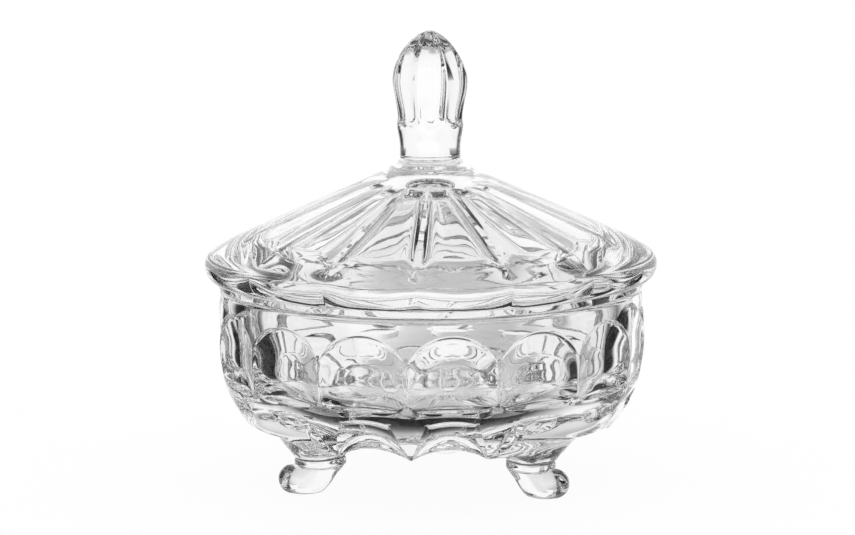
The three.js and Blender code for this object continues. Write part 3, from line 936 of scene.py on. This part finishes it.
def lid_sector(bowl, lid, finial):
    """The part of the lid that holds whole petals and whole flutes of the finial, as one closed skin."""
    copies = math.gcd(lid.petals, finial.flutes)
    petals = lid.petals // copies
    half_petal = math.pi / lid.petals
    even = np.linspace(0.0, 1.0, PETAL_COLUMNS)
    half = lerp(np.sin(even * math.pi / 2.0), even, PETAL_EVENNESS)
    shares = np.concatenate([-half[:0:-1], half])
    columns = [(2.0 * petal + 1.0, part) for petal in range(petals) for part in shares[:-1]]
    columns.append((2.0 * petals - 1.0, 1.0))
    centre, petal = np.array(columns).T
    angles = lid.turn + (centre + petal) * half_petal
    seat = bowl.rim_height + lid.seat_gap
    sector = Sector()
    add_underside(sector, bowl, lid, angles, petal, seat)
    for radius, height in lid_profile(bowl, lid, finial):
        sector.row(radius, angles, seat + height)
    add_finial(sector, finial, angles, seat)
    return sector.mesh("lid_sector")


class DISH_OT_lid(bpy.types.Operator):
    """Builds the lid with its finial"""

    bl_idname = "dish.lid"
    bl_label = "Build lid"

    def execute(self, context):
        dish = context.scene.candy_dish
        piece = pressed_round(
            context,
            lid_sector(dish.bowl, dish.lid, dish.finial),
            "lid_glass",
            math.gcd(dish.lid.petals, dish.finial.flutes),
            dish.lid.petal_depth,
            pressed_glass(dish.glass),
        )
        finish_piece(piece, "lid")
        return {"FINISHED"}


# Glass


def pressed_glass(look):
    """Clear glass with a faintly rippled fire-polished skin."""
    name = "pressed_glass"
    if name in bpy.data.materials:
        return bpy.data.materials[name]
    material = bpy.data.materials.new(name)
    material.use_nodes = True
    make, link = material.node_tree.nodes.new, material.node_tree.links.new
    material.node_tree.nodes.clear()
    place = make("ShaderNodeTexCoord")

    ripple = make("ShaderNodeTexNoise")
    ripple.inputs["Scale"].default_value = 1.0 / look.ripple_width
    ripple.inputs["Detail"].default_value = 2.0
    link(place.outputs["Object"], ripple.inputs["Vector"])
    bump = make("ShaderNodeBump")
    bump.inputs["Distance"].default_value = look.ripple
    link(ripple.outputs["Fac"], bump.inputs["Height"])

    cloud = make("ShaderNodeTexNoise")
    cloud.inputs["Scale"].default_value = 3.0 / look.ripple_width
    cloud.inputs["Detail"].default_value = 3.0
    link(place.outputs["Object"], cloud.inputs["Vector"])
    haze = make("ShaderNodeMapRange")
    haze.inputs["From Min"].default_value = 0.35
    haze.inputs["From Max"].default_value = 0.75
    haze.inputs["To Min"].default_value = 0.0
    haze.inputs["To Max"].default_value = look.haze
    link(cloud.outputs["Fac"], haze.inputs["Value"])

    glass = make("ShaderNodeBsdfPrincipled")
    glass.inputs["Base Color"].default_value = (*look.colour, 1.0)
    glass.inputs["Transmission Weight"].default_value = 1.0
    glass.inputs["IOR"].default_value = look.bending
    link(haze.outputs["Result"], glass.inputs["Roughness"])
    link(bump.outputs["Normal"], glass.inputs["Normal"])
    result = make("ShaderNodeOutputMaterial")
    link(glass.outputs["BSDF"], result.inputs["Surface"])
    return material


# Studio


def result_of(tree, operation, first, second=0.0):
    """Output of a Math node; each input is a number or another node's output."""
    node = tree.nodes.new("ShaderNodeMath")
    node.operation = operation
    for socket, value in zip(node.inputs, (first, second)):
        if isinstance(value, float):
            socket.default_value = value
        else:
            tree.links.new(value, socket)
    return node.outputs["Value"]


def soft_step(tree, value, middle, width):
    """Output that rises smoothly from 0 to 1 over a width round a value."""
    node = tree.nodes.new("ShaderNodeMapRange")
    node.interpolation_type = "SMOOTHSTEP"
    node.inputs["From Min"].default_value = middle - width / 2.0
    node.inputs["From Max"].default_value = middle + width / 2.0
    tree.links.new(value, node.inputs["Value"])
    return node.outputs["Result"]


def inverse(tree, value):
    """1 less the value."""
    return result_of(tree, "SUBTRACT", 1.0, value)


def bent_ray(tree, path):
    """1 for rays that the glass mirrors or bends, 0 for others."""
    return result_of(tree, "MAXIMUM", path.outputs["Is Glossy Ray"], path.outputs["Is Transmission Ray"])


def dark_table(tree, look, place):
    """How dark the glass shows the table: beside it, on a strip before the dish, and with a painted shade
    under it.
    """
    split = tree.nodes.new("ShaderNodeSeparateXYZ")
    tree.links.new(place, split.inputs["Vector"])
    aside = result_of(tree, "ABSOLUTE", split.outputs["X"])
    behind = split.outputs["Y"]
    widening = result_of(tree, "MULTIPLY", result_of(tree, "ABSOLUTE", behind), look.table_fan)
    beyond = result_of(tree, "SUBTRACT", aside, widening)
    past_side = soft_step(tree, beyond, look.table_side, look.table_edge)
    before = inverse(tree, soft_step(tree, behind, -look.strip_near, look.table_edge))
    before = result_of(tree, "MULTIPLY", before, soft_step(tree, behind, -look.strip_far, look.table_edge))
    past_table = result_of(tree, "MAXIMUM", past_side, before)
    # painted shade under and behind the dish, standing in for its shadow on the table
    shade = soft_step(tree, behind, look.shade_from, look.shade_edge)
    for past in (
        soft_step(tree, behind, look.shade_to, look.shade_edge),
        soft_step(tree, aside, look.shade_side, look.shade_edge),
    ):
        shade = result_of(tree, "MULTIPLY", shade, inverse(tree, past))
    shade = result_of(tree, "MULTIPLY", shade, look.shade_dark)
    return result_of(tree, "MAXIMUM", result_of(tree, "MULTIPLY", past_table, 1.0 - look.room), shade)


def floor_material(look):
    """Matt white table that fades out towards its edge, with dark surroundings and a painted shade under the
    dish for what the glass bends.
    """
    material = bpy.data.materials.new("floor")
    material.use_nodes = True
    tree = material.node_tree
    make, link = tree.nodes.new, tree.links.new
    tree.nodes.clear()
    place = make("ShaderNodeTexCoord")
    path = make("ShaderNodeLightPath")

    def mixed(part, first, second):
        mix = make("ShaderNodeMixShader")
        link(part, mix.inputs["Fac"])
        link(first, mix.inputs[1])
        link(second, mix.inputs[2])
        return mix.outputs["Shader"]

    paint = make("ShaderNodeBsdfDiffuse")
    paint.inputs["Color"].default_value = (*look.floor_colour, 1.0)
    dark = make("ShaderNodeBsdfDiffuse")
    dark.inputs["Color"].default_value = (0.0, 0.0, 0.0, 1.0)
    white = make("ShaderNodeEmission")
    white.inputs["Color"].default_value = (1.0, 1.0, 1.0, 1.0)
    seen = result_of(tree, "MAXIMUM", path.outputs["Is Camera Ray"], bent_ray(tree, path))
    glow = result_of(tree, "MULTIPLY", seen, look.floor_glow)
    table = mixed(glow, paint.outputs["BSDF"], white.outputs["Emission"])
    # black where the glass sees the dark room, the dark strip or the painted shade under the dish
    unlit = result_of(tree, "MULTIPLY", dark_table(tree, look, place.outputs["Object"]), bent_ray(tree, path))
    table = mixed(unlit, table, dark.outputs["BSDF"])
    reach = make("ShaderNodeVectorMath")
    reach.operation = "LENGTH"
    link(place.outputs["Object"], reach.inputs[0])
    clear = make("ShaderNodeBsdfTransparent")
    fade_at = look.fade_at * look.floor_radius
    edge = soft_step(tree, reach.outputs["Value"], fade_at, look.fade_width * look.floor_radius)
    result = make("ShaderNodeOutputMaterial")
    link(mixed(edge, table, clear.outputs["BSDF"]), result.inputs["Surface"])
    return material


def add_floor(context, look):
    """A round floor just under the soles."""
    sector = Sector()
    around = np.linspace(0.0, 2.0 * math.pi, FLOOR_SIDES)
    for part in (0.0, 0.5, 1.0):
        sector.row(look.floor_radius * part, -around, -look.floor_gap)
    floor = bpy.data.objects.new("floor", sector.mesh("floor"))
    floor.data.materials.append(floor_material(look))
    context.scene.collection.objects.link(floor)


def add_world(context, look):
    """White light from all round; what the glass mirrors or bends is white only towards the backdrops."""
    world = bpy.data.worlds.new("studio")
    world.use_nodes = True
    context.scene.world = world
    tree = world.node_tree
    tree.nodes.clear()
    make, link = tree.nodes.new, tree.links.new
    place = make("ShaderNodeTexCoord")
    ahead = make("ShaderNodeVectorMath")
    ahead.operation = "DOT_PRODUCT"
    ahead.inputs[1].default_value = (-math.sin(look.azimuth), math.cos(look.azimuth), 0.0)
    link(place.outputs["Generated"], ahead.inputs[0])
    aside = result_of(tree, "ARCCOSINE", result_of(tree, "ABSOLUTE", ahead.outputs["Value"]))
    room = soft_step(tree, aside, look.backdrop, look.backdrop_edge)
    room = result_of(tree, "MULTIPLY", room, 1.0 - look.room)
    before = inverse(tree, soft_step(tree, ahead.outputs["Value"], 0.0, look.front_edge))
    room = result_of(tree, "MAXIMUM", room, result_of(tree, "MULTIPLY", before, look.front_dark))
    unlit = result_of(tree, "MULTIPLY", room, bent_ray(tree, make("ShaderNodeLightPath")))
    light = make("ShaderNodeBackground")
    light.inputs["Color"].default_value = (1.0, 1.0, 1.0, 1.0)
    link(inverse(tree, unlit), light.inputs["Strength"])
    result = make("ShaderNodeOutputWorld")
    link(light.outputs["Background"], result.inputs["Surface"])


def add_camera(context, look):
    """A long lens at the photograph's height and side."""
    camera = bpy.data.cameras.new("camera")
    camera.lens = camera.sensor_width * look.distance / look.view_width
    camera.clip_start = 50.0 * MM
    item = bpy.data.objects.new("camera", camera)
    item.rotation_euler = Euler((math.pi / 2.0 - look.elevation, 0.0, look.azimuth))
    right = Vector((math.cos(look.azimuth), math.sin(look.azimuth), 0.0))
    forward = Vector(
        (
            -math.sin(look.azimuth) * math.cos(look.elevation),
            math.cos(look.azimuth) * math.cos(look.elevation),
            -math.sin(look.elevation),
        )
    )
    aim = Vector((0.0, 0.0, look.aim_height)) + right * look.aim_side
    item.location = aim - forward * look.distance
    item.rotation_euler.rotate_axis("Z", look.roll)
    context.scene.collection.objects.link(item)
    context.scene.camera = item


class DISH_OT_stage(bpy.types.Operator):
    """Builds the table, the light with its backdrops, and the camera"""

    bl_idname = "dish.stage"
    bl_label = "Build studio"

    def execute(self, context):
        look = context.scene.candy_dish.stage
        add_floor(context, look)
        add_world(context, look)
        add_camera(context, look)
        scene = context.scene
        scene.view_settings.view_transform = "Standard"
        scene.cycles.max_bounces = 32
        scene.cycles.transmission_bounces = 32
        scene.cycles.glossy_bounces = 12
        scene.cycles.caustics_refractive = True
        return {"FINISHED"}


class DISH_PT_panel(bpy.types.Panel):
    """Settings and buttons in the 3D view's sidebar"""

    bl_label = "Candy dish"
    bl_idname = "DISH_PT_panel"
    bl_space_type = "VIEW_3D"
    bl_region_type = "UI"
    bl_category = "Candy dish"

    def draw(self, context):
        dish = context.scene.candy_dish
        for group in (dish.bowl, dish.feet, dish.lid, dish.finial, dish.glass, dish.stage):
            box = self.layout.box()
            for name in group.__annotations__:
                box.prop(group, name)
        for operator in (DISH_OT_bowl, DISH_OT_lid, DISH_OT_stage):
            self.layout.operator(operator.bl_idname)


CLASSES = (
    BowlSizes,
    FootSizes,
    LidSizes,
    FinialSizes,
    GlassLook,
    StageLook,
    CandyDish,
    DISH_OT_bowl,
    DISH_OT_lid,
    DISH_OT_stage,
    DISH_PT_panel,
)


def register():
    for item in CLASSES:
        bpy.utils.register_class(item)
    bpy.types.Scene.candy_dish = bpy.props.PointerProperty(type=CandyDish)


def unregister():
    del bpy.types.Scene.candy_dish
    for item in reversed(CLASSES):
        bpy.utils.unregister_class(item)


def main():
    register()
    bpy.ops.dish.bowl()
    bpy.ops.dish.lid()
    bpy.ops.dish.stage()
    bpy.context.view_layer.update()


if __name__ == "__main__":
    main()
